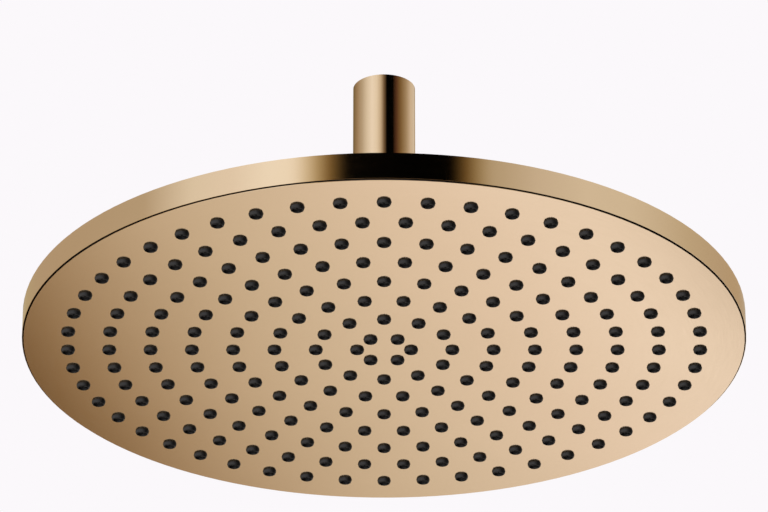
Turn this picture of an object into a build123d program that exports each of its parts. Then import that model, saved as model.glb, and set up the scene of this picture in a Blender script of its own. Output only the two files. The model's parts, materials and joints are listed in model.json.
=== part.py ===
from build123d import *
import os

# Rain shower head on a ceiling pipe. Millimetres, +Z up.
# The origin is the middle of the pipe's top end, at the ceiling, so the head hangs below it.

# Drop pipe
pipe_diameter = 26.4
pipe_wall = 2.2
pipe_length = 112.1

# Bushes brazed into the pipe's two ends; their wall leaves the core of a G 1/2 pipe thread, 18.631 across
insert_wall = 1.6345
insert_length = 20.0
braze_gap = 0.05
thread_clearance = 0.1

# Cover: a shallow round pan that makes the head's top and side wall, with a sharp skirt in front of the seal
head_diameter = 300.0
head_height = 11.65
cover_wall = 2.0
cover_sheet = 2.0
skirt_height = 1.25
skirt_width = 0.8
skirt_edge = 0.1

# Face plate: a thin rim that lies inside the cover's edge, and a thicker middle that centres it
plate_thickness = 1.8
plate_rim = 0.2
plate_setback = 0.7
plate_clearance = 0.1

# Rim seal, squeezed between the plate's rim and the cover's wall, behind the skirt
rim_seal_height = 1.6
rim_seal_clearance = 0.05

# Nozzles in rings, evenly spread from the middle to the margin at the rim.
# The second ring has twice as many as the first, the third three times.
nozzle_ring_count = 8
first_ring_nozzles = 6
first_ring_radius = 11.2
nozzle_margin = 18.82
nozzle_base_diameter = 6.0
nozzle_tip_diameter = 5.4
nozzle_height = 1.4
nozzle_side_count = 8

# Sides of the hexagonal pieces
hex_side_count = 6

# Hub: a flanged nipple that pulls the cover up against the pipe
hub_grip = 13.0
hub_bore_diameter = 11.0
hub_flange_width = 27.0
hub_flange_height = 3.0
hub_hole_clearance = 0.3
hub_gasket_height = 1.0
hub_gasket_setback = 0.2

# Flow limiter, filter screen and filter washer, stacked on the hub inside the pipe
limiter_height = 3.0
limiter_key_width = 5.0
screen_height = 0.8
screen_hole_width = 3.0
screen_rim = 2.7
screen_outer_hole_count = 6
filter_washer_height = 2.2
filter_washer_bore = 11.0
stack_clearance = 0.1

# Posts brazed between the face plate and the cover, in the space between two nozzle rings
post_count = 6
post_margin = 27.45
post_first_angle = 30.0
post_width = 8.0

# Radii
head_radius = head_diameter / 2
pipe_bore_radius = pipe_diameter / 2 - pipe_wall
insert_radius = pipe_bore_radius - braze_gap
thread_core_radius = insert_radius - insert_wall
hub_thread_radius = thread_core_radius - thread_clearance
hub_hole_radius = hub_thread_radius + hub_hole_clearance
stack_radius = thread_core_radius - stack_clearance
screen_hole_circle_radius = stack_radius - screen_rim - screen_hole_width / 2
rim_seal_radius = head_radius - skirt_width - rim_seal_clearance
plate_radius = head_radius - plate_setback
plate_middle_radius = head_radius - cover_wall - plate_clearance
outer_ring_radius = head_radius - nozzle_margin
ring_pitch = (outer_ring_radius - first_ring_radius) / (nozzle_ring_count - 1)
post_circle_radius = head_radius - post_margin

# Levels, from the ceiling down
cover_top = -pipe_length
cover_under = cover_top - cover_sheet
face = cover_top - head_height
plate_back = face + plate_thickness
rim_top = face + plate_rim
cover_lip = rim_top + rim_seal_height
skirt_bottom = cover_lip - skirt_height
nozzle_tip = face - nozzle_height
hub_flange_top = cover_under - hub_gasket_height
hub_flange_bottom = hub_flange_top - hub_flange_height
hub_top = cover_top + hub_grip
screen_bottom = hub_top + limiter_height
filter_washer_bottom = screen_bottom + screen_height


def save(piece, name):
    """Labels a finished piece and writes it as its own file."""
    piece.part.label = name
    export_step(piece.part, f"parts/{name}.step")


def ring(outer_radius, inner_radius, bottom, top):
    """A flat-ended ring round the Z axis."""
    with BuildPart() as piece:
        with BuildSketch(Plane.XY.offset(bottom)):
            Circle(outer_radius)
            Circle(inner_radius, mode=Mode.SUBTRACT)
        extrude(amount=top - bottom)
    return piece


os.makedirs("parts", exist_ok=True)

# Pipe and its two threaded bushes
save(ring(pipe_diameter / 2, pipe_bore_radius, cover_top, 0), "ceiling_pipe")
save(ring(insert_radius, thread_core_radius, -insert_length, 0), "inlet_insert")
save(ring(insert_radius, thread_core_radius, cover_top, cover_top + insert_length), "outlet_insert")

# Cover: the pan's section turned about the Z axis
with BuildPart() as cover:
    with BuildSketch(Plane.XZ):
        with BuildLine():
            Polyline(
                (hub_hole_radius, cover_top),
                (head_radius, cover_top),
                (head_radius, skirt_bottom),
                (head_radius - skirt_edge, skirt_bottom),
                (head_radius - skirt_width, cover_lip),
                (head_radius - cover_wall, cover_lip),
                (head_radius - cover_wall, cover_under),
                (hub_hole_radius, cover_under),
                close=True,
            )
        make_face()
    revolve(axis=Axis.Z)
save(cover, "cover")

# Face plate: a turned disc, stepped at the back
with BuildPart() as face_plate:
    with BuildSketch(Plane.XZ):
        with BuildLine():
            Polyline(
                (0, face),
                (plate_radius, face),
                (plate_radius, rim_top),
                (plate_middle_radius, rim_top),
                (plate_middle_radius, plate_back),
                (0, plate_back),
                close=True,
            )
        make_face()
    revolve(axis=Axis.Z)
save(face_plate, "face_plate")

# Rim seal: sits round the plate's middle and under the cover's wall
rim_seal_bore = plate_middle_radius + plate_clearance
save(ring(rim_seal_radius, rim_seal_bore, rim_top, cover_lip), "rim_seal")

# Nozzles: one tapered rubber tip, repeated round every ring of the face
with BuildPart() as nozzle:
    with BuildSketch(Plane.XY.offset(face)):
        RegularPolygon(nozzle_base_diameter / 2, nozzle_side_count)
    with BuildSketch(Plane.XY.offset(nozzle_tip)):
        RegularPolygon(nozzle_tip_diameter / 2, nozzle_side_count)
    loft(ruled=True)

with BuildPart() as nozzles:
    for number in range(1, nozzle_ring_count + 1):
        ring_radius = first_ring_radius + (number - 1) * ring_pitch
        with PolarLocations(ring_radius, number * first_ring_nozzles):
            add(nozzle.part)
save(nozzles, "nozzles")

# Hub: a hexagonal flange under the cover and a threaded spigot up into the pipe
with BuildPart() as hub:
    with BuildSketch(Plane.XY.offset(hub_flange_bottom)):
        RegularPolygon(hub_flange_width / 2, hex_side_count, major_radius=False)
    extrude(amount=hub_flange_height)
    with BuildSketch(Plane.XY.offset(hub_flange_top)):
        Circle(hub_thread_radius)
    extrude(amount=hub_top - hub_flange_top)
    with Locations(Plane.XY.offset(hub_top)):
        Hole(hub_bore_diameter / 2)
save(hub, "hub")

# Hub gasket: cut to the flange's outline
with BuildPart() as hub_gasket:
    with BuildSketch(Plane.XY.offset(hub_flange_top)):
        RegularPolygon(hub_flange_width / 2 - hub_gasket_setback, hex_side_count, major_radius=False)
        Circle(hub_hole_radius, mode=Mode.SUBTRACT)
    extrude(amount=hub_gasket_height)
save(hub_gasket, "hub_gasket")

# Flow limiter: a plug with a hexagonal water way, which also takes a key
with BuildPart() as flow_limiter:
    with BuildSketch(Plane.XY.offset(hub_top)):
        Circle(stack_radius)
        RegularPolygon(limiter_key_width / 2, hex_side_count, major_radius=False, mode=Mode.SUBTRACT)
    extrude(amount=limiter_height)
save(flow_limiter, "flow_limiter")

# Filter screen and filter washer, one on top of the other
with BuildPart() as filter_screen:
    with BuildSketch(Plane.XY.offset(screen_bottom)):
        Circle(stack_radius)
        RegularPolygon(screen_hole_width / 2, hex_side_count, mode=Mode.SUBTRACT)
        with PolarLocations(screen_hole_circle_radius, screen_outer_hole_count):
            RegularPolygon(screen_hole_width / 2, hex_side_count, mode=Mode.SUBTRACT)
    extrude(amount=screen_height)
save(filter_screen, "filter_screen")

filter_washer_top = filter_washer_bottom + filter_washer_height
filter_washer = ring(stack_radius, filter_washer_bore / 2, filter_washer_bottom, filter_washer_top)
save(filter_washer, "filter_washer")

# Posts: hexagonal bars from the back of the face plate up to the cover
post_spots = PolarLocations(post_circle_radius, post_count, post_first_angle)
for number, spot in enumerate(post_spots, 1):
    with BuildPart() as post:
        with BuildSketch(Plane(spot).offset(plate_back)):
            RegularPolygon(post_width / 2, hex_side_count, major_radius=False)
        extrude(amount=cover_under - plate_back)
    save(post, f"post_{number}")
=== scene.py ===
# %% [markdown]
# # A rain shower head, dressed for its picture
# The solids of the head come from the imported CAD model: a pipe, a shallow round cover, a thin face
# plate, a black seal between the two, and the pieces inside. They already have their right size
# and place, so this lesson leaves their shape alone. It gives them their metal and rubber, swaps
# the plain eight-sided nozzles for round ones, cuts a thread into the bush at the top of the pipe,
# and sets up a studio in which the metal looks like metal.

# %% Load the solids and measure them
import json
import math

import bpy
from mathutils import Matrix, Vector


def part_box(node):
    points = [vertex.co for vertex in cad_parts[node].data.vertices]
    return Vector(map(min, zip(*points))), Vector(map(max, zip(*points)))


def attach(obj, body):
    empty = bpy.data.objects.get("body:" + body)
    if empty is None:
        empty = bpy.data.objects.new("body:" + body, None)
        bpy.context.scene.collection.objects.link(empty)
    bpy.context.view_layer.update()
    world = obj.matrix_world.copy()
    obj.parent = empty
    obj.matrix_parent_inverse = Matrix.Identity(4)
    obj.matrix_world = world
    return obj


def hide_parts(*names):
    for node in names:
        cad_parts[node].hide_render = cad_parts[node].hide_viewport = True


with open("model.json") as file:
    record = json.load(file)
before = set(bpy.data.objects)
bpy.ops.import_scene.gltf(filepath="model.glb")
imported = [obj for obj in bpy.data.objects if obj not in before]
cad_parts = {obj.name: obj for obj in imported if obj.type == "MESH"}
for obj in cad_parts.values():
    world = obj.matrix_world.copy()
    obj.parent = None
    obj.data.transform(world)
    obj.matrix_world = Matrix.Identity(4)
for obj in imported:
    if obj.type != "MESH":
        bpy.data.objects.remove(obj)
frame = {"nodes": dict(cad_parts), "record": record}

MM = 0.001
scene = bpy.context.scene
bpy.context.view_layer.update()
nodes = frame["nodes"]
print("CAD nodes:", len(nodes))

# %% [markdown]
# ## The camera
# The picture was taken from in front and well below, with a long lens, so the round face shows as
# a calm ellipse with hardly any perspective. The camera therefore stands almost two metres away
# and looks up by a little over 27 degrees. Blender's camera looks down its own -Z, so a turn of
# 90 degrees about X makes it look level, and the rest looks up.

# %% Camera
CAMERA_PLACE = (-0.00004, -1.7332, -0.9711)
LOOK_LEVEL = 90
LOOK_UP = 27.21
LENS_MM = 217.87
SENSOR_MM = 36
SIGHT_RANGE = 60

bpy.ops.object.select_all(action="DESELECT")
bpy.ops.object.camera_add(
    location=CAMERA_PLACE, rotation=(math.radians(LOOK_LEVEL + LOOK_UP), 0, 0)
)
camera = bpy.context.object
camera.name = "camera"
camera.data.sensor_width = SENSOR_MM
camera.data.lens = LENS_MM
camera.data.clip_end = SIGHT_RANGE
scene.camera = camera
scene.view_settings.view_transform = "Standard"
print("camera at", CAMERA_PLACE, "looking up by", LOOK_UP)

# %% [markdown]
# ## First helpers for materials
# A shader is a graph, and adding a node by hand means choosing its type, filling in its sockets
# and pulling wires. These helpers do the same in one line each. They cover what a plain, slightly
# uneven surface needs: the point's own coordinates, a noise, and a ramp of colours.

# %% Material helpers
def new_material(name):
    """An empty node material, with its node tree and its output node."""
    material = bpy.data.materials.new(name)
    material.use_nodes = True
    material.node_tree.nodes.clear()
    output = material.node_tree.nodes.new("ShaderNodeOutputMaterial")
    return material, material.node_tree, output


def wire(tree, value, socket):
    """Sets a socket to a constant, or pulls a wire to it from another socket."""
    if isinstance(value, bpy.types.NodeSocket):
        tree.links.new(value, socket)
    else:
        socket.default_value = value


def object_place(tree):
    """The point's place, in its piece's own coordinates."""
    return tree.nodes.new("ShaderNodeTexCoord").outputs["Object"]


def noise(tree, vector, scale=1.0, detail=2.0):
    """One Noise Texture node, as a number round one half."""
    node = tree.nodes.new("ShaderNodeTexNoise")
    wire(tree, vector, node.inputs["Vector"])
    node.inputs["Scale"].default_value = scale
    node.inputs["Detail"].default_value = detail
    return node.outputs["Fac"]


def colour_ramp(tree, factor, stops):
    """One Color Ramp node; stops are (position from 0 to 1, colour)."""
    node = tree.nodes.new("ShaderNodeValToRGB")
    elements = node.color_ramp.elements
    while len(elements) < len(stops):
        elements.new(0.5)
    for element, (position, colour) in zip(elements, stops):
        element.position = position
        element.color = (*colour, 1)
    wire(tree, factor, node.inputs["Fac"])
    return node.outputs["Color"]


# %% [markdown]
# ## White background and pale floor
# The picture has a clean, nearly white background. The world gives it: at a strength of 1 its
# colour reaches the image as written. The head hangs high up and is looked at from below, so the
# floor lies far under it and only shows in a view from above.

# %% Background and floor
BACKGROUND = (0.965, 0.939, 0.965, 1)
FLOOR_LEVEL = -5.0
FLOOR_RADIUS = 3.2
FLOOR_SIDES = 96
FLOOR_PATCHES_PER_METRE = 1.5
FLOOR_TONES = [(0, (0.86, 0.85, 0.85)), (1, (0.92, 0.91, 0.91))]
FLOOR_ROUGHNESS = 0.8

world = bpy.data.worlds.new("white_background")
scene.world = world
world.use_nodes = True
backdrop = world.node_tree.nodes["Background"]
backdrop.inputs["Color"].default_value = BACKGROUND
backdrop.inputs["Strength"].default_value = 1.0

bpy.ops.mesh.primitive_circle_add(
    vertices=FLOOR_SIDES, radius=FLOOR_RADIUS, fill_type="NGON", location=(0, 0, FLOOR_LEVEL)
)
floor = bpy.context.object
floor.name = "studio_floor"
floor_paint, tree, output = new_material("pale_floor")
shader = tree.nodes.new("ShaderNodeBsdfPrincipled")
patches = noise(tree, object_place(tree), FLOOR_PATCHES_PER_METRE)
wire(tree, colour_ramp(tree, patches, FLOOR_TONES), shader.inputs["Base Color"])
shader.inputs["Roughness"].default_value = FLOOR_ROUGHNESS
wire(tree, shader.outputs[0], output.inputs["Surface"])
floor.data.materials.append(floor_paint)
print("floor at", FLOOR_LEVEL, "of radius", FLOOR_RADIUS)

# %% [markdown]
# ## Helpers for directions
# A studio's cloths are easiest to describe by where they hang, seen from the head: how far round
# the axis, and how high above the horizon. Both follow from a point's coordinates by a little
# arithmetic, so these helpers add Math nodes, and Map Range nodes that make a share of an angle.

# %% Direction helpers
def split_xyz(tree, vector):
    """The x, y and z of a vector."""
    node = tree.nodes.new("ShaderNodeSeparateXYZ")
    wire(tree, vector, node.inputs[0])
    return tuple(node.outputs)


def math_node(tree, operation, first, second=0.0):
    """One Math node."""
    node = tree.nodes.new("ShaderNodeMath")
    node.operation = operation
    wire(tree, first, node.inputs[0])
    wire(tree, second, node.inputs[1])
    return node.outputs[0]


def turn_node(tree, sideways, ahead):
    """The turn about Z, in degrees, of a point that lies so far sideways and so far ahead."""
    return math_node(tree, "DEGREES", math_node(tree, "ARCTAN2", sideways, ahead))


def map_range(tree, value, low, high, to_low, to_high, kind="LINEAR"):
    """One Map Range node, which also holds the value inside its range."""
    node = tree.nodes.new("ShaderNodeMapRange")
    node.interpolation_type = kind
    wire(tree, value, node.inputs["Value"])
    sockets = ("From Min", "From Max", "To Min", "To Max")
    for socket, number in zip(sockets, (low, high, to_low, to_high)):
        node.inputs[socket].default_value = number
    return node.outputs["Result"]


def soft_window(tree, value, edges):
    """1 between the middle two of four edges, fading softly to 0 at the outer two."""
    start, full, fading, end = edges
    rise = map_range(tree, value, start, full, 0, 1, "SMOOTHSTEP")
    fall = map_range(tree, value, fading, end, 1, 0, "SMOOTHSTEP")
    return math_node(tree, "MULTIPLY", rise, fall)


# %% [markdown]
# ## The light tent
# Polished metal has almost no look of its own: it shows what stands around it. So the studio is a
# large round tent of glowing cloth, in panels of different grey, and each side of the head mirrors
# a part of it. The side wall mirrors the upper front, and the flat face mirrors the low back. The
# tent is hidden from the camera itself, so the white background shows through. A direction is
# given by the turn about Z and by the height above the horizon, both in degrees.

# %% Tent and its directions
TENT_RADIUS = 6.0
TENT_STRENGTH = 2.0
TENT_SEGMENTS = 64
TENT_RINGS = 32

bpy.ops.mesh.primitive_uv_sphere_add(
    segments=TENT_SEGMENTS, ring_count=TENT_RINGS, radius=TENT_RADIUS
)
tent = bpy.context.object
tent.name = "light_tent"
tent_cloth, tent_tree, tent_output = new_material("tent_cloth")
x, y, z = split_xyz(tent_tree, object_place(tent_tree))
front_turn = turn_node(tent_tree, x, math_node(tent_tree, "MULTIPLY", y, -1.0))
back_turn = turn_node(tent_tree, x, y)
sine = math_node(tent_tree, "DIVIDE", z, TENT_RADIUS)
height = math_node(tent_tree, "DEGREES", math_node(tent_tree, "ARCSINE", sine))
print("tent of radius", TENT_RADIUS)

# %% [markdown]
# ## The tent's upper panels
# Each panel is a turn, measured from the camera's side, and a tone. A colour ramp runs through
# them all, so one panel fades into the next. A cool bright panel hangs on the left of the camera,
# a warmer one on the right, and the cloth grows darker and browner towards the back.

# %% Upper panels
def panel_ramp(tree, turn, panels):
    """A ring of panels; each is (turn in degrees, red, green, blue) in units of white light."""
    stops = []
    for degrees, *tone in panels:
        stops.append(((degrees + 180) / 360, [v / TENT_STRENGTH for v in tone]))
    return colour_ramp(tree, map_range(tree, turn, -180, 180, 0, 1), stops)


UPPER_PANELS = [
    (-180, 0.54, 0.45, 0.31),
    (-158, 0.57, 0.48, 0.33),
    (-146, 0.62, 0.53, 0.44),
    (-136, 0.65, 0.56, 0.50),
    (-110, 0.70, 0.615, 0.53),
    (-80, 0.73, 0.66, 0.57),
    (-62, 1.12, 1.13, 1.16),
    (-48, 1.20, 1.20, 1.27),
    (-36, 1.36, 1.42, 1.55),
    (-24, 1.36, 1.40, 1.50),
    (36, 0.74, 0.68, 0.58),
    (48, 0.90, 0.86, 0.82),
    (66, 1.02, 1.00, 0.98),
    (82, 1.00, 0.98, 0.95),
    (110, 0.80, 0.74, 0.65),
    (132, 0.70, 0.61, 0.54),
    (150, 0.62, 0.50, 0.39),
    (164, 0.54, 0.44, 0.34),
    (180, 0.54, 0.45, 0.31),
]
upper = panel_ramp(tent_tree, front_turn, UPPER_PANELS)
print(len(UPPER_PANELS), "upper panels")

# %% [markdown]
# ## The tent's lower panels
# The turn of these is measured from the back. The flat face mirrors only a narrow strip of them,
# from about six degrees on the left to eight on the right, so the panels stand close together
# there, dark on the left and bright on the right. They hang aslant, so that the face's tones run
# aslant too. The low front, beyond 70 degrees, is bright on the left and dark on the right. The
# nozzles' sides mirror it by way of the face, so each has a lit side and a shaded one.

# %% Lower panels
MIRRORED_HEIGHT = -26.0
SLANT = -0.8
LOWER_PANELS = [
    (-180, 1.40, 1.36, 1.36),
    (-155, 1.65, 1.60, 1.60),
    (-100, 1.65, 1.60, 1.60),
    (-70, 0.70, 0.64, 0.56),
    (-30, 0.12, 0.07, 0.03),
    (-10, 0.01, 0.005, 0.00),
    (-6.5, 0.10, 0.03, 0.00),
    (-5.5, 0.35, 0.205, 0.06),
    (-4.5, 0.55, 0.415, 0.275),
    (-3, 0.76, 0.655, 0.53),
    (-1, 0.925, 0.85, 0.75),
    (1, 1.04, 0.985, 0.935),
    (4, 1.23, 1.15, 1.16),
    (6, 1.34, 1.33, 1.43),
    (7.4, 1.56, 1.54, 1.62),
    (9, 0.68, 0.61, 0.55),
    (12, 0.40, 0.37, 0.34),
    (40, 0.40, 0.38, 0.36),
    (80, 0.05, 0.05, 0.05),
    (115, 0.05, 0.05, 0.05),
    (145, 0.45, 0.43, 0.43),
    (180, 1.40, 1.36, 1.36),
]
above = math_node(tent_tree, "SUBTRACT", height, MIRRORED_HEIGHT)
shift = math_node(tent_tree, "MULTIPLY", above, SLANT)
lower = panel_ramp(tent_tree, math_node(tent_tree, "ADD", back_turn, shift), LOWER_PANELS)
print(len(LOWER_PANELS), "lower panels")

# %% [markdown]
# ## The black flag
# A black flag hangs above and behind the camera, and the side wall mirrors it as the dark band in
# its middle. The flag's edges are soft and fade through a warm brown, as the band's edges do in
# the picture. The flag darkens the upper panels, and near the horizon the upper cloth fades into
# the lower one.

# %% Flag, and the finished tent
FLAG_TURNS = (-30.5, -10.5, 20, 36.4)
FLAG_HEIGHTS = (8, 14, 40, 50)
FLAG_SHADES = [
    (0, (1, 1, 1)),
    (0.25, (0.75, 0.69, 0.56)),
    (0.5, (0.50, 0.41, 0.25)),
    (0.75, (0.25, 0.165, 0.0625)),
    (1, (0, 0, 0)),
]
CLOTH_JOIN = (-10, 8)


def mix_colour(tree, factor, first, second, kind="MIX"):
    """One Mix node for colours, whose colour sockets come after those for other kinds."""
    node = tree.nodes.new("ShaderNodeMix")
    node.data_type = "RGBA"
    node.blend_type = kind
    wire(tree, factor, node.inputs[0])
    wire(tree, first, node.inputs[6])
    wire(tree, second, node.inputs[7])
    return node.outputs[2]


def glow(tree, output, colour):
    """Lets a cloth glow with a colour that is given as a share of TENT_STRENGTH."""
    node = tree.nodes.new("ShaderNodeEmission")
    wire(tree, colour, node.inputs["Color"])
    node.inputs["Strength"].default_value = TENT_STRENGTH
    wire(tree, node.outputs[0], output.inputs["Surface"])


flag_across = soft_window(tent_tree, front_turn, FLAG_TURNS)
flag_upwards = soft_window(tent_tree, height, FLAG_HEIGHTS)
flag = math_node(tent_tree, "MULTIPLY", flag_across, flag_upwards)
shade = colour_ramp(tent_tree, flag, FLAG_SHADES)
upper = mix_colour(tent_tree, 1.0, upper, shade, "MULTIPLY")
join = map_range(tent_tree, height, *CLOTH_JOIN, 0, 1, "SMOOTHSTEP")
glow(tent_tree, tent_output, mix_colour(tent_tree, join, lower, upper))
tent.data.materials.append(tent_cloth)
tent.visible_camera = False
print("flag from", FLAG_TURNS[0], "to", FLAG_TURNS[-1], "degrees")

# %% [markdown]
# ## Small helpers for meshes
# Edit mode's operators work on what is selected. The first helper selects the faces that pass a
# test, and leaves the mesh in edit mode, ready for the next operator. The others are such tests,
# and a measure of how far round the axis a point lies.

# %% Mesh helpers
LEVEL_NORMAL = 0.9


def select_faces(piece, wanted):
    """Selects the faces for which wanted(face) is true, and stays in edit mode."""
    bpy.ops.object.mode_set(mode="OBJECT")
    for part in (piece.data.vertices, piece.data.edges, piece.data.polygons):
        part.foreach_set("select", [False] * len(part))
    for face in piece.data.polygons:
        face.select = wanted(face)
    bpy.ops.object.mode_set(mode="EDIT")
    bpy.ops.mesh.select_mode(type="FACE")


def looks_up(face):
    """True for a level face that looks up."""
    return face.normal.z > LEVEL_NORMAL


def looks_down(face):
    """True for a level face that looks down."""
    return face.normal.z < -LEVEL_NORMAL


def turn_of(point):
    """A point's turn about Z, in degrees from the camera's side."""
    return math.degrees(math.atan2(point.x, -point.y))


# %% [markdown]
# ## A curved card for the pipe
# The pipe is a narrow mirror. It shows the same directions as the side wall does, yet it should
# have its own tones: a bright stripe on the left, a dark one just right of the middle, and a soft
# rise to the right edge. A curved card can give them, because it stands near: light that the pipe
# mirrors passes higher up than light that the wall mirrors, so a card above that level is seen by
# the pipe alone. The card is an open cylinder, cut down to the part that is needed. The camera
# and matt surfaces do not see it, and it casts no shadow, so it only shows where it is mirrored.

# %% Pipe card's shape
CARD_RADIUS = 0.5
CARD_LOW = 0.12
CARD_HIGH = 0.34
CARD_SIDES = 144
CARD_LEFT = -165
CARD_RIGHT = 150

bpy.ops.object.select_all(action="DESELECT")
bpy.ops.mesh.primitive_cylinder_add(
    vertices=CARD_SIDES,
    radius=CARD_RADIUS,
    depth=CARD_HIGH - CARD_LOW,
    end_fill_type="NOTHING",
    location=(0, 0, (CARD_LOW + CARD_HIGH) / 2),
)
card = bpy.context.object
card.name = "pipe_card"
bpy.ops.object.transform_apply(location=True)
select_faces(card, lambda face: not CARD_LEFT < turn_of(face.center) < CARD_RIGHT)
bpy.ops.mesh.delete(type="FACE")
bpy.ops.object.mode_set(mode="OBJECT")
print("pipe card:", len(card.data.polygons), "faces")

# %% [markdown]
# ## The card's tones
# The card is painted as the tent is, with panels that fade into each other. Turns are measured
# from the camera's side, and the pipe shows each of them at half its angle.

# %% Pipe card's cloth
CARD_PANELS = [
    (-180, 0.24, 0.20, 0.15),
    (-150, 0.25, 0.19, 0.11),
    (-116, 0.52, 0.41, 0.31),
    (-88, 0.74, 0.69, 0.62),
    (-65, 1.08, 1.08, 1.10),
    (-45, 1.30, 1.34, 1.46),
    (-27, 1.20, 1.20, 1.22),
    (-13, 0.88, 0.81, 0.73),
    (-1, 0.28, 0.20, 0.13),
    (9, 0, 0, 0),
    (33, 0, 0, 0),
    (47, 0.14, 0.063, 0.034),
    (65, 0.32, 0.216, 0.10),
    (88, 0.553, 0.456, 0.335),
    (116, 0.93, 0.875, 0.86),
    (140, 0.92, 0.90, 0.98),
    (180, 0.90, 0.86, 0.90),
]

card_cloth, tree, output = new_material("card_cloth")
x, y = split_xyz(tree, object_place(tree))[:2]
card_turn = turn_node(tree, x, math_node(tree, "MULTIPLY", y, -1.0))
glow(tree, output, panel_ramp(tree, card_turn, CARD_PANELS))
card.data.materials.append(card_cloth)
card.visible_camera = False
card.visible_diffuse = False
card.visible_shadow = False
print(len(CARD_PANELS), "card panels")

# %% [markdown]
# ## Satin bronze
# The visible metal is brass with a satin champagne-bronze finish. Close up, such a finish is a
# field of very fine turning marks that run round the axis, on the flat faces as rings and on the
# pipe and the side wall as level lines. The sum of a point's distance from the axis and its height
# changes across those lines and stays the same along them, so noise that runs fast with that sum,
# and slowly with x and y, gives broken fine lines on every face at once. They change the roughness
# and a faint bump. A second, broad noise shifts the tint a little, as plating does. Faces that
# look up, such as the cover's top, are out of sight once the head hangs, so they are brushed more
# coarsely than the rest.

# %% Turned metal
MARKS_PER_METRE = 5200
MARK_BREAKS_PER_METRE = 90
MARK_BUMP = 0.2
TINT_PATCHES_PER_METRE = 14.0
FINE_DETAIL = 3.0
TINT_ENDS = (0.3, 0.7)
NOISE_ENDS = (0.25, 0.75)
UPWARD_ENDS = (0.5, 0.9)


def combine(tree, x, y, z):
    """A vector from three numbers."""
    node = tree.nodes.new("ShaderNodeCombineXYZ")
    for socket, value in zip(node.inputs, (x, y, z)):
        wire(tree, value, socket)
    return node.outputs[0]


def bump(tree, pattern, strength, pattern_height):
    """One Bump node, which tilts the surface's normal by a pattern."""
    node = tree.nodes.new("ShaderNodeBump")
    node.inputs["Strength"].default_value = strength
    node.inputs["Distance"].default_value = pattern_height
    wire(tree, pattern, node.inputs["Height"])
    return node.outputs[0]


def turned_metal(name, tints, edge, roughness, top_roughness, spread, mark_height):
    """Metal with turning marks round the Z axis; edge is its colour at a glancing angle."""
    material, tree, output = new_material(name)
    place = object_place(tree)
    x, y, z = split_xyz(tree, place)
    square_x = math_node(tree, "MULTIPLY", x, x)
    square_y = math_node(tree, "MULTIPLY", y, y)
    radius = math_node(tree, "SQRT", math_node(tree, "ADD", square_x, square_y))
    across = math_node(tree, "ADD", radius, z)
    fast = math_node(tree, "MULTIPLY", across, MARKS_PER_METRE)
    slow_x = math_node(tree, "MULTIPLY", x, MARK_BREAKS_PER_METRE)
    slow_y = math_node(tree, "MULTIPLY", y, MARK_BREAKS_PER_METRE)
    marks = noise(tree, combine(tree, fast, slow_x, slow_y))
    tint = noise(tree, place, TINT_PATCHES_PER_METRE, FINE_DETAIL)
    normal = tree.nodes.new("ShaderNodeTexCoord").outputs["Normal"]
    upward = split_xyz(tree, normal)[2]
    polish = map_range(tree, upward, *UPWARD_ENDS, roughness, top_roughness)
    unevenness = map_range(tree, marks, *NOISE_ENDS, -spread, spread)

    shader = tree.nodes.new("ShaderNodeBsdfPrincipled")
    colour = colour_ramp(tree, tint, list(zip(TINT_ENDS, tints)))
    wire(tree, colour, shader.inputs["Base Color"])
    shader.inputs["Metallic"].default_value = 1.0
    shader.inputs["Specular Tint"].default_value = (*edge, 1)
    wire(tree, math_node(tree, "ADD", polish, unevenness), shader.inputs["Roughness"])
    wire(tree, bump(tree, marks, MARK_BUMP, mark_height), shader.inputs["Normal"])
    wire(tree, shader.outputs[0], output.inputs["Surface"])
    return material


# %% [markdown]
# ## Three metals
# The pipe and the cover are polished more finely than the face, which scatters the light a little
# and so shows softer tones. The pieces inside are plain turned brass, yellower and with coarser
# marks. Each has two tints, a darker and a lighter one, that lie close together.

# %% Metals
BRONZE_TINTS = ((0.605, 0.455, 0.288), (0.625, 0.472, 0.302))
BRASS_TINTS = ((0.64, 0.48, 0.22), (0.72, 0.56, 0.27))

bronze = turned_metal(
    "bronze",
    BRONZE_TINTS,
    edge=(0.97, 0.91, 0.75),
    roughness=0.08,
    top_roughness=0.34,
    spread=0.015,
    mark_height=1e-6,
)
bronze_face = turned_metal(
    "bronze_face",
    BRONZE_TINTS,
    edge=(1, 1, 1),
    roughness=0.12,
    top_roughness=0.34,
    spread=0.02,
    mark_height=2e-6,
)
raw_brass = turned_metal(
    "raw_brass",
    BRASS_TINTS,
    edge=(0.95, 0.85, 0.65),
    roughness=0.28,
    top_roughness=0.28,
    spread=0.08,
    mark_height=8e-6,
)
print("metals:", bronze.name, bronze_face.name, raw_brass.name)

# %% [markdown]
# ## Rubber, plastic and screen
# The nozzles and the seal are black silicone rubber: nearly black, with a dull sheen and a skin
# that is not quite even. The flow limiter is pale moulded plastic, and the filter is stainless
# sheet. Both sit inside the pipe, but a part that others may open up should have its inner pieces
# finished too.

# %% Moulded skins
SKIN_BUMP = 0.3
SKIN_HEIGHT = 1e-5
RUBBER_TINTS = ((0.004, 0.004, 0.004), (0.006, 0.0055, 0.006))
PLASTIC_TINTS = ((0.74, 0.73, 0.70), (0.80, 0.79, 0.76))
STEEL_TINTS = ((0.52, 0.51, 0.50), (0.62, 0.61, 0.60))


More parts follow.
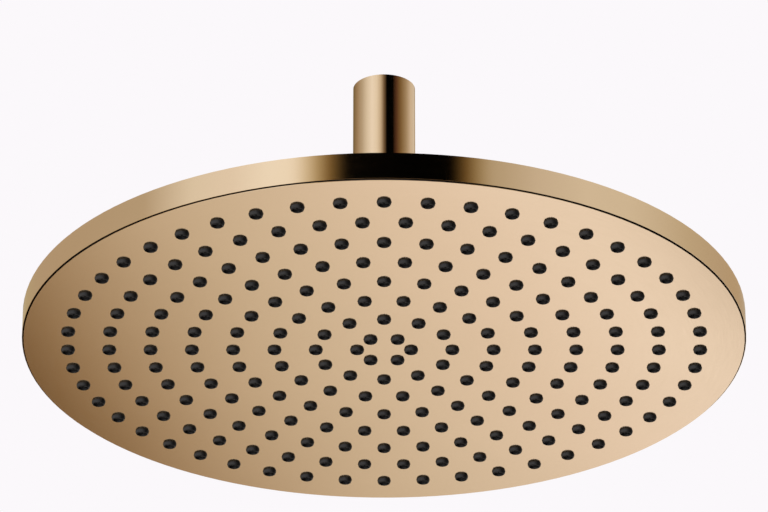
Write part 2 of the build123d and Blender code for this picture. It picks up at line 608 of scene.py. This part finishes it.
def moulded(name, tints, roughness, spread, grains_per_metre, metallic=0.0, sheen=0.5):
    """A moulded or rolled surface with an uneven skin; sheen is how strongly it mirrors."""
    material, tree, output = new_material(name)
    skin = noise(tree, object_place(tree), grains_per_metre, FINE_DETAIL)
    rough = map_range(tree, skin, *NOISE_ENDS, roughness - spread, roughness + spread)

    shader = tree.nodes.new("ShaderNodeBsdfPrincipled")
    colour = colour_ramp(tree, skin, list(zip(TINT_ENDS, tints)))
    wire(tree, colour, shader.inputs["Base Color"])
    shader.inputs["Metallic"].default_value = metallic
    shader.inputs["Specular IOR Level"].default_value = sheen
    wire(tree, rough, shader.inputs["Roughness"])
    wire(tree, bump(tree, skin, SKIN_BUMP, SKIN_HEIGHT), shader.inputs["Normal"])
    wire(tree, shader.outputs[0], output.inputs["Surface"])
    return material


black_rubber = moulded(
    "black_rubber", RUBBER_TINTS, roughness=0.36, spread=0.06, grains_per_metre=1500, sheen=0.36
)
white_plastic = moulded(
    "white_plastic", PLASTIC_TINTS, roughness=0.40, spread=0.06, grains_per_metre=600
)
steel_mesh = moulded(
    "steel_mesh", STEEL_TINTS, roughness=0.32, spread=0.08, grains_per_metre=900, metallic=1.0
)
print("skins:", black_rubber.name, white_plastic.name, steel_mesh.name)

# %% [markdown]
# ## Finishes on the solids
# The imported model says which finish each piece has. A piece takes one finish all over, so its
# mesh needs a single material slot.

# %% Give each solid its finish
FINISHES = {
    "bronze": bronze,
    "bronze_face": bronze_face,
    "raw_brass": raw_brass,
    "black_rubber": black_rubber,
    "white_plastic": white_plastic,
    "steel_mesh": steel_mesh,
}
for subpart in frame["record"]["subparts"]:
    node = nodes[subpart["node"]]
    node.data.materials.clear()
    node.data.materials.append(FINISHES[subpart["material_slot"]])

# %% [markdown]
# ## One nozzle, modelled by hand
# A nozzle is a short rubber teat that stands out of the face: wide at its root, a little narrower
# at its tip, with a soft edge. It starts as a cylinder of its root's width, between the levels
# that the solids give. The lower end is narrowed, and a bevel softens its edge. The teat is
# repeated over two hundred times, so it has few sides, and smooth shading makes them look round.

# %% Nozzle's body
FACE_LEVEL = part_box("face_plate")[0].z
TIP_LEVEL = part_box("nozzles")[0].z
NOZZLE_SIDES = 12
ROOT_RADIUS = 2.98 * MM
TIP_RADIUS = 2.6 * MM
EDGE_ROUNDING = 0.28 * MM

bpy.ops.object.select_all(action="DESELECT")
bpy.ops.mesh.primitive_cylinder_add(
    vertices=NOZZLE_SIDES,
    radius=ROOT_RADIUS,
    depth=FACE_LEVEL - TIP_LEVEL,
    location=(0, 0, (FACE_LEVEL + TIP_LEVEL) / 2),
)
nozzle = bpy.context.object
nozzle.name = "nozzle"
bpy.ops.object.transform_apply(location=True)
select_faces(nozzle, looks_down)
narrowing = TIP_RADIUS / ROOT_RADIUS
bpy.ops.transform.resize(value=(narrowing, narrowing, 1), center_override=(0, 0, TIP_LEVEL))
bpy.ops.mesh.bevel(offset=EDGE_ROUNDING, segments=1, affect="EDGES")
print("nozzle height in mm:", round((FACE_LEVEL - TIP_LEVEL) / MM, 2))

# %% [markdown]
# ## The nozzle's mouth
# The tip is cupped round a small water hole. An inset draws the mouth's rim, an extrusion upwards
# sinks the cup, and a resize makes its seat a little narrower than its mouth. A second inset and
# extrusion sink the water hole. An inset is measured from an outline's flat sides, while the
# radii here reach to its corners, so each width is multiplied by the ratio of the two. Extruding
# numbers the new faces differently from run to run, so at the end everything is numbered afresh,
# by its distance from a point off to one side.

# %% Nozzle's mouth
MOUTH_RADIUS = 2.15 * MM
SEAT_RADIUS = 1.9 * MM
MOUTH_DEPTH = 0.95 * MM
HOLE_RADIUS = 0.5 * MM
HOLE_DEPTH = 0.3 * MM
TIP_LAYER = TIP_LEVEL + 0.01 * MM
SORTING_POINT = (7.3 * MM, 3.1 * MM, TIP_LEVEL - 1.7 * MM)
NOZZLE_SMOOTHING = math.radians(40)

select_faces(nozzle, lambda face: looks_down(face) and face.center.z < TIP_LAYER)
rim = max(v.co.xy.length for v in nozzle.data.vertices if v.co.z < TIP_LAYER)
flats = math.cos(math.pi / NOZZLE_SIDES)
closing = SEAT_RADIUS / MOUTH_RADIUS
seat_centre = (0, 0, TIP_LEVEL + MOUTH_DEPTH)
bpy.ops.mesh.inset(thickness=(rim - MOUTH_RADIUS) * flats)
bpy.ops.mesh.extrude_region_move(TRANSFORM_OT_translate={"value": (0, 0, MOUTH_DEPTH)})
bpy.ops.transform.resize(value=(closing, closing, 1), center_override=seat_centre)
bpy.ops.mesh.inset(thickness=(SEAT_RADIUS - HOLE_RADIUS) * flats)
bpy.ops.mesh.extrude_region_move(TRANSFORM_OT_translate={"value": (0, 0, HOLE_DEPTH)})
scene.cursor.location = SORTING_POINT
bpy.ops.mesh.select_all(action="SELECT")
bpy.ops.mesh.sort_elements(type="CURSOR_DISTANCE", elements={"VERT", "EDGE", "FACE"})
bpy.ops.object.mode_set(mode="OBJECT")
bpy.ops.object.shade_smooth_by_angle(angle=NOZZLE_SMOOTHING)
nozzle.data.materials.append(black_rubber)
print("one nozzle:", len(nozzle.data.polygons), "faces, rim radius in mm", round(rim / MM, 2))

# %% [markdown]
# ## Eight rings of nozzles
# The nozzles stand in rings of 6, 12, 18 and so on up to 48, so their distance along each ring
# stays nearly the same. Each copy has its own mesh, set in place by moving its points, and at the
# end all copies are joined into one piece that stands for the plain nozzles of the solid model.

# %% Copy the nozzle round the rings
RING_COUNT = 8
FIRST_RING_NOZZLES = 6
FIRST_RING_RADIUS = 11.2 * MM
RING_PITCH = 17.14 * MM

copies = []
for ring in range(1, RING_COUNT + 1):
    ring_radius = FIRST_RING_RADIUS + (ring - 1) * RING_PITCH
    ring_nozzles = ring * FIRST_RING_NOZZLES
    for number in range(ring_nozzles):
        turn = 2 * math.pi * number / ring_nozzles
        copy = nozzle.copy()
        copy.data = nozzle.data.copy()
        copy.location = (ring_radius * math.cos(turn), ring_radius * math.sin(turn), 0)
        scene.collection.objects.link(copy)
        copies.append(copy)
bpy.data.objects.remove(nozzle)
bpy.ops.object.select_all(action="DESELECT")
for copy in copies:
    copy.select_set(True)
nozzle_count = len(copies)
bpy.context.view_layer.objects.active = copies[0]
bpy.ops.object.transform_apply(location=True)
bpy.ops.object.join()
nozzle_field = bpy.context.object
nozzle_field.name = "nozzle_field"
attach(nozzle_field, "root")
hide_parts("nozzles")
print("nozzle field:", nozzle_count, "nozzles,", len(nozzle_field.data.polygons), "faces")

# %% [markdown]
# ## The bush at the ceiling end
# The pipe hangs on a nipple of G 1/2 pipe thread, so the bush in its top end has that thread
# inside: 1.814 mm from turn to turn, 18.631 mm across at the crests and 20.955 mm at the roots.
# The solid model leaves the bore plain. Here a cylinder is hollowed: insets draw the bore's rims
# on both ends, the upper one sunk to make a lead-in, and a bridge joins them.

# %% Hollow bush
THREAD_CORE_RADIUS = 9.3155 * MM
LEAD_IN_RADIUS = 10.4 * MM
LEAD_IN_DEPTH = 1.0 * MM
BUSH_SIDES = 64

bush_low, bush_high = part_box("inlet_insert")
bush_radius = bush_high.x
bpy.ops.object.select_all(action="DESELECT")
bpy.ops.mesh.primitive_cylinder_add(
    vertices=BUSH_SIDES,
    radius=bush_radius,
    depth=bush_high.z - bush_low.z,
    location=(0, 0, (bush_high.z + bush_low.z) / 2),
)
bush = bpy.context.object
bush.name = "threaded_bush"
bpy.ops.object.transform_apply(location=True)
flats = math.cos(math.pi / BUSH_SIDES)
lead_in_width = (LEAD_IN_RADIUS - THREAD_CORE_RADIUS) * flats
select_faces(bush, looks_up)
bpy.ops.mesh.inset(thickness=(bush_radius - LEAD_IN_RADIUS) * flats)
bpy.ops.mesh.inset(thickness=lead_in_width, depth=-LEAD_IN_DEPTH)
select_faces(bush, looks_down)
bpy.ops.mesh.inset(thickness=(bush_radius - THREAD_CORE_RADIUS) * flats)
ends = (looks_up, looks_down)
select_faces(
    bush, lambda face: len(face.vertices) == BUSH_SIDES and any(looks(face) for looks in ends)
)
bpy.ops.mesh.bridge_edge_loops()
bpy.ops.object.mode_set(mode="OBJECT")
print("hollow bush:", len(bush.data.polygons), "faces")

# %% [markdown]
# ## A tap for the thread
# A real thread is cut by a tap, and so is this one. The tap is a small diamond outline, whose
# outer corner reaches the thread's root. The Screw modifier winds it up round the axis, a little
# past both ends of the bush. Its two open ends are then filled, and its faces turned outwards, so
# that it is a closed body.

# %% Tap
THREAD_PITCH = 1.814 * MM
THREAD_ROOT_RADIUS = 10.4775 * MM
TAP_RADIUS = 9.2 * MM
TAP_HALF_WIDTH = 0.87 * MM
TAP_CORNERS = 4
TAP_START = -22 * MM
TAP_TURNS = 13
TAP_STEPS = 48

bpy.ops.object.select_all(action="DESELECT")
bpy.ops.mesh.primitive_circle_add(
    vertices=TAP_CORNERS,
    radius=1,
    location=(TAP_RADIUS, 0, TAP_START),
    rotation=(math.radians(90), 0, 0),
)
tap = bpy.context.object
tap.name = "tap"
tap.scale = (THREAD_ROOT_RADIUS - TAP_RADIUS, TAP_HALF_WIDTH, 1)
bpy.ops.object.transform_apply(location=True, rotation=True, scale=True)
winding = tap.modifiers.new("winding", "SCREW")
winding.axis = "Z"
winding.angle = 2 * math.pi
winding.screw_offset = THREAD_PITCH
winding.iterations = TAP_TURNS
winding.steps = TAP_STEPS
winding.render_steps = TAP_STEPS
bpy.ops.object.modifier_apply(modifier="winding")
bpy.ops.object.mode_set(mode="EDIT")
bpy.ops.mesh.select_all(action="SELECT")
bpy.ops.mesh.fill_holes(sides=TAP_CORNERS)
bpy.ops.mesh.select_all(action="SELECT")
bpy.ops.mesh.normals_make_consistent(inside=False)
bpy.ops.object.mode_set(mode="OBJECT")
print("tap:", TAP_TURNS, "turns,", len(tap.data.polygons), "faces")

# %% [markdown]
# ## Cutting the thread
# A Boolean modifier takes the tap away from the bush. The exact solver is used, because it copes
# with faces as long and thin as a thread's. The tap has then done its work and is deleted.

# %% Threaded bush
BUSH_SMOOTHING = math.radians(30)

cut = bush.modifiers.new("thread", "BOOLEAN")
cut.operation = "DIFFERENCE"
cut.solver = "EXACT"
cut.object = tap
bpy.ops.object.select_all(action="DESELECT")
bush.select_set(True)
bpy.context.view_layer.objects.active = bush
bpy.ops.object.modifier_apply(modifier="thread")
bpy.data.objects.remove(tap)
bpy.ops.object.shade_smooth_by_angle(angle=BUSH_SMOOTHING)
bush.data.materials.clear()
bush.data.materials.append(raw_brass)
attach(bush, "root")
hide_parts("inlet_insert")
print("threaded bush:", len(bush.data.polygons), "faces")
